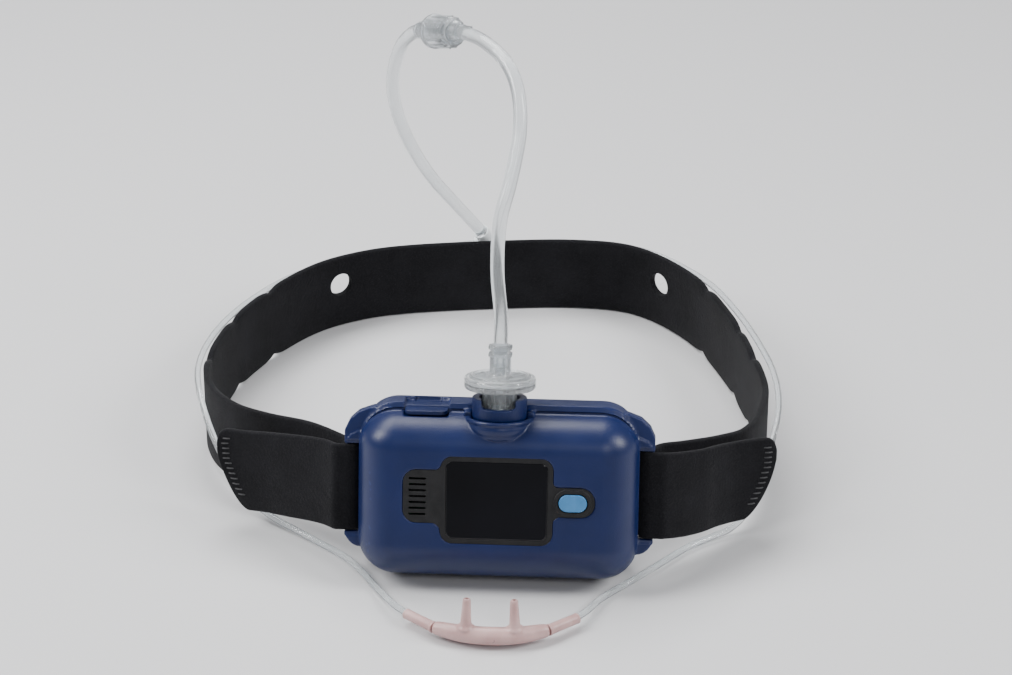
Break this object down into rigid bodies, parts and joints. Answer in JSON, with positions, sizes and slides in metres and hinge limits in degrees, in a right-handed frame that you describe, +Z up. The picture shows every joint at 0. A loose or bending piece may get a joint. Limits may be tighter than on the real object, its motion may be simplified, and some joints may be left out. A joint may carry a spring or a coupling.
{
  "type": "forehead-worn home sleep recorder with nasal cannula",
  "caption": "Head-worn sleep apnoea recorder: rounded case with window and button on a hook-and-loop head strap, with a filter port, tube loop and nasal cannula.",
  "frame": {"origin": "centre of the bounding box at the surface that the strap and the case stand on, measured without the tubes and what is on them", "axes": "+Z up, the case's window faces -Y, +X to the right as seen from the front"},
  "size_m": [0.2047, 0.2427, 0.1625],
  "materials": {
    "blue_case": "satin moulded, deep royal blue",
    "dark_rubber": "matt",
    "steel": "plain",
    "black_insert": "fine matt texture",
    "window_pane": "dark gloss",
    "display_glass": "gloss",
    "amber_film": "film",
    "light_blue_button": "soft touch",
    "white_plastic": "satin",
    "dark_foam": "closed-cell foam",
    "circuit_board": "solder mask",
    "chip_black": "moulded",
    "silicone": "satin",
    "battery_foil": "foil pouch",
    "lead_insulation": "satin",
    "red_window": "polished",
    "clear_plastic": "polished",
    "white_membrane": "fine membrane",
    "clear_tube": "polished vinyl",
    "pink_vinyl": "translucent soft vinyl",
    "strap_fabric": "brushed loop-faced neoprene",
    "hook_tape": "hook tape"
  },
  "bodies": {
    "case": {"front_shell": "blue_case", "back_shell": "blue_case", "case_gasket": "dark_rubber", "case_screws": "steel", "window_bezel": "black_insert", "display_lens": "window_pane", "display_module": "display_glass", "display_flex": "amber_film", "tact_switch": "white_plastic", "microphone": "steel", "microphone_foam": "dark_foam", "main_board": "circuit_board", "board_chips": "chip_black", "memory_card": "chip_black", "buzzer": "chip_black", "pressure_sensor": "white_plastic", "sensor_hose": "silicone", "battery": "battery_foil", "battery_leads": "lead_insulation", "usb_socket": "steel", "door_pin": "steel", "pulse_sensor_window": "red_window", "pulse_sensor_board": "circuit_board", "forehead_pad_left": "dark_foam", "forehead_pad_right": "dark_foam", "port_collar": "blue_case", "port_gasket": "silicone", "luer_socket": "white_plastic", "loop_tube_front": "clear_tube", "loop_male_luer": "clear_plastic", "loop_female_luer": "clear_plastic", "loop_tube_back": "clear_tube", "tube_junction": "white_plastic", "cannula_tube_left": "clear_tube", "cannula_tube_right": "clear_tube", "cannula_sleeve_left": "pink_vinyl", "cannula_sleeve_right": "pink_vinyl", "nosepiece": "pink_vinyl", "strap_band": "strap_fabric"},
    "button": {"power_button": "light_blue_button"},
    "door": {"port_door": "blue_case"},
    "filter": {"filter_base": "clear_plastic", "filter_membrane": "white_membrane", "filter_cap": "clear_plastic"},
    "lock_collar": {"loop_lock_collar": "clear_plastic"},
    "left_tail": {"strap_tail_left": "strap_fabric", "hook_tab_left": "hook_tape"},
    "right_tail": {"strap_tail_right": "strap_fabric", "hook_tab_right": "hook_tape"}
  },
  "joints": [
    {"name": "button_press", "type": "slide", "parent": "case", "child": "button", "axis": [0, 0.9583, -0.2857], "range_m": [0, 0.0006], "stiffness_N_per_m": 800, "springref_m": -0.0002},
    {"name": "door_open", "type": "hinge", "parent": "case", "child": "door", "pos_m": [-0.0145, -0.07061, 0.05292], "axis": [-1, 0, 0], "range_deg": [0, 105]},
    {"name": "filter_twist", "type": "hinge", "parent": "case", "child": "filter", "pos_m": [0.009, -0.07783, 0.06441], "axis": [0, 0.2857, 0.9583], "range_deg": [0, 180]},
    {"name": "lock_turn", "type": "hinge", "parent": "case", "child": "lock_collar", "pos_m": [-0.01525, 0.001, 0.15325], "axis": [-0.5873, 0.7578, -0.2842], "range_deg": [0, 180]},
    {"name": "left_tail_peel", "type": "hinge", "parent": "case", "child": "left_tail", "pos_m": [-0.0432, -0.08591, 0.02925], "axis": [0, 0.2857, 0.9583], "range_deg": [0, 100]},
    {"name": "right_tail_peel", "type": "hinge", "parent": "case", "child": "right_tail", "pos_m": [0.0612, -0.08591, 0.02925], "axis": [0, -0.2857, -0.9583], "range_deg": [0, 100]}
  ]
}
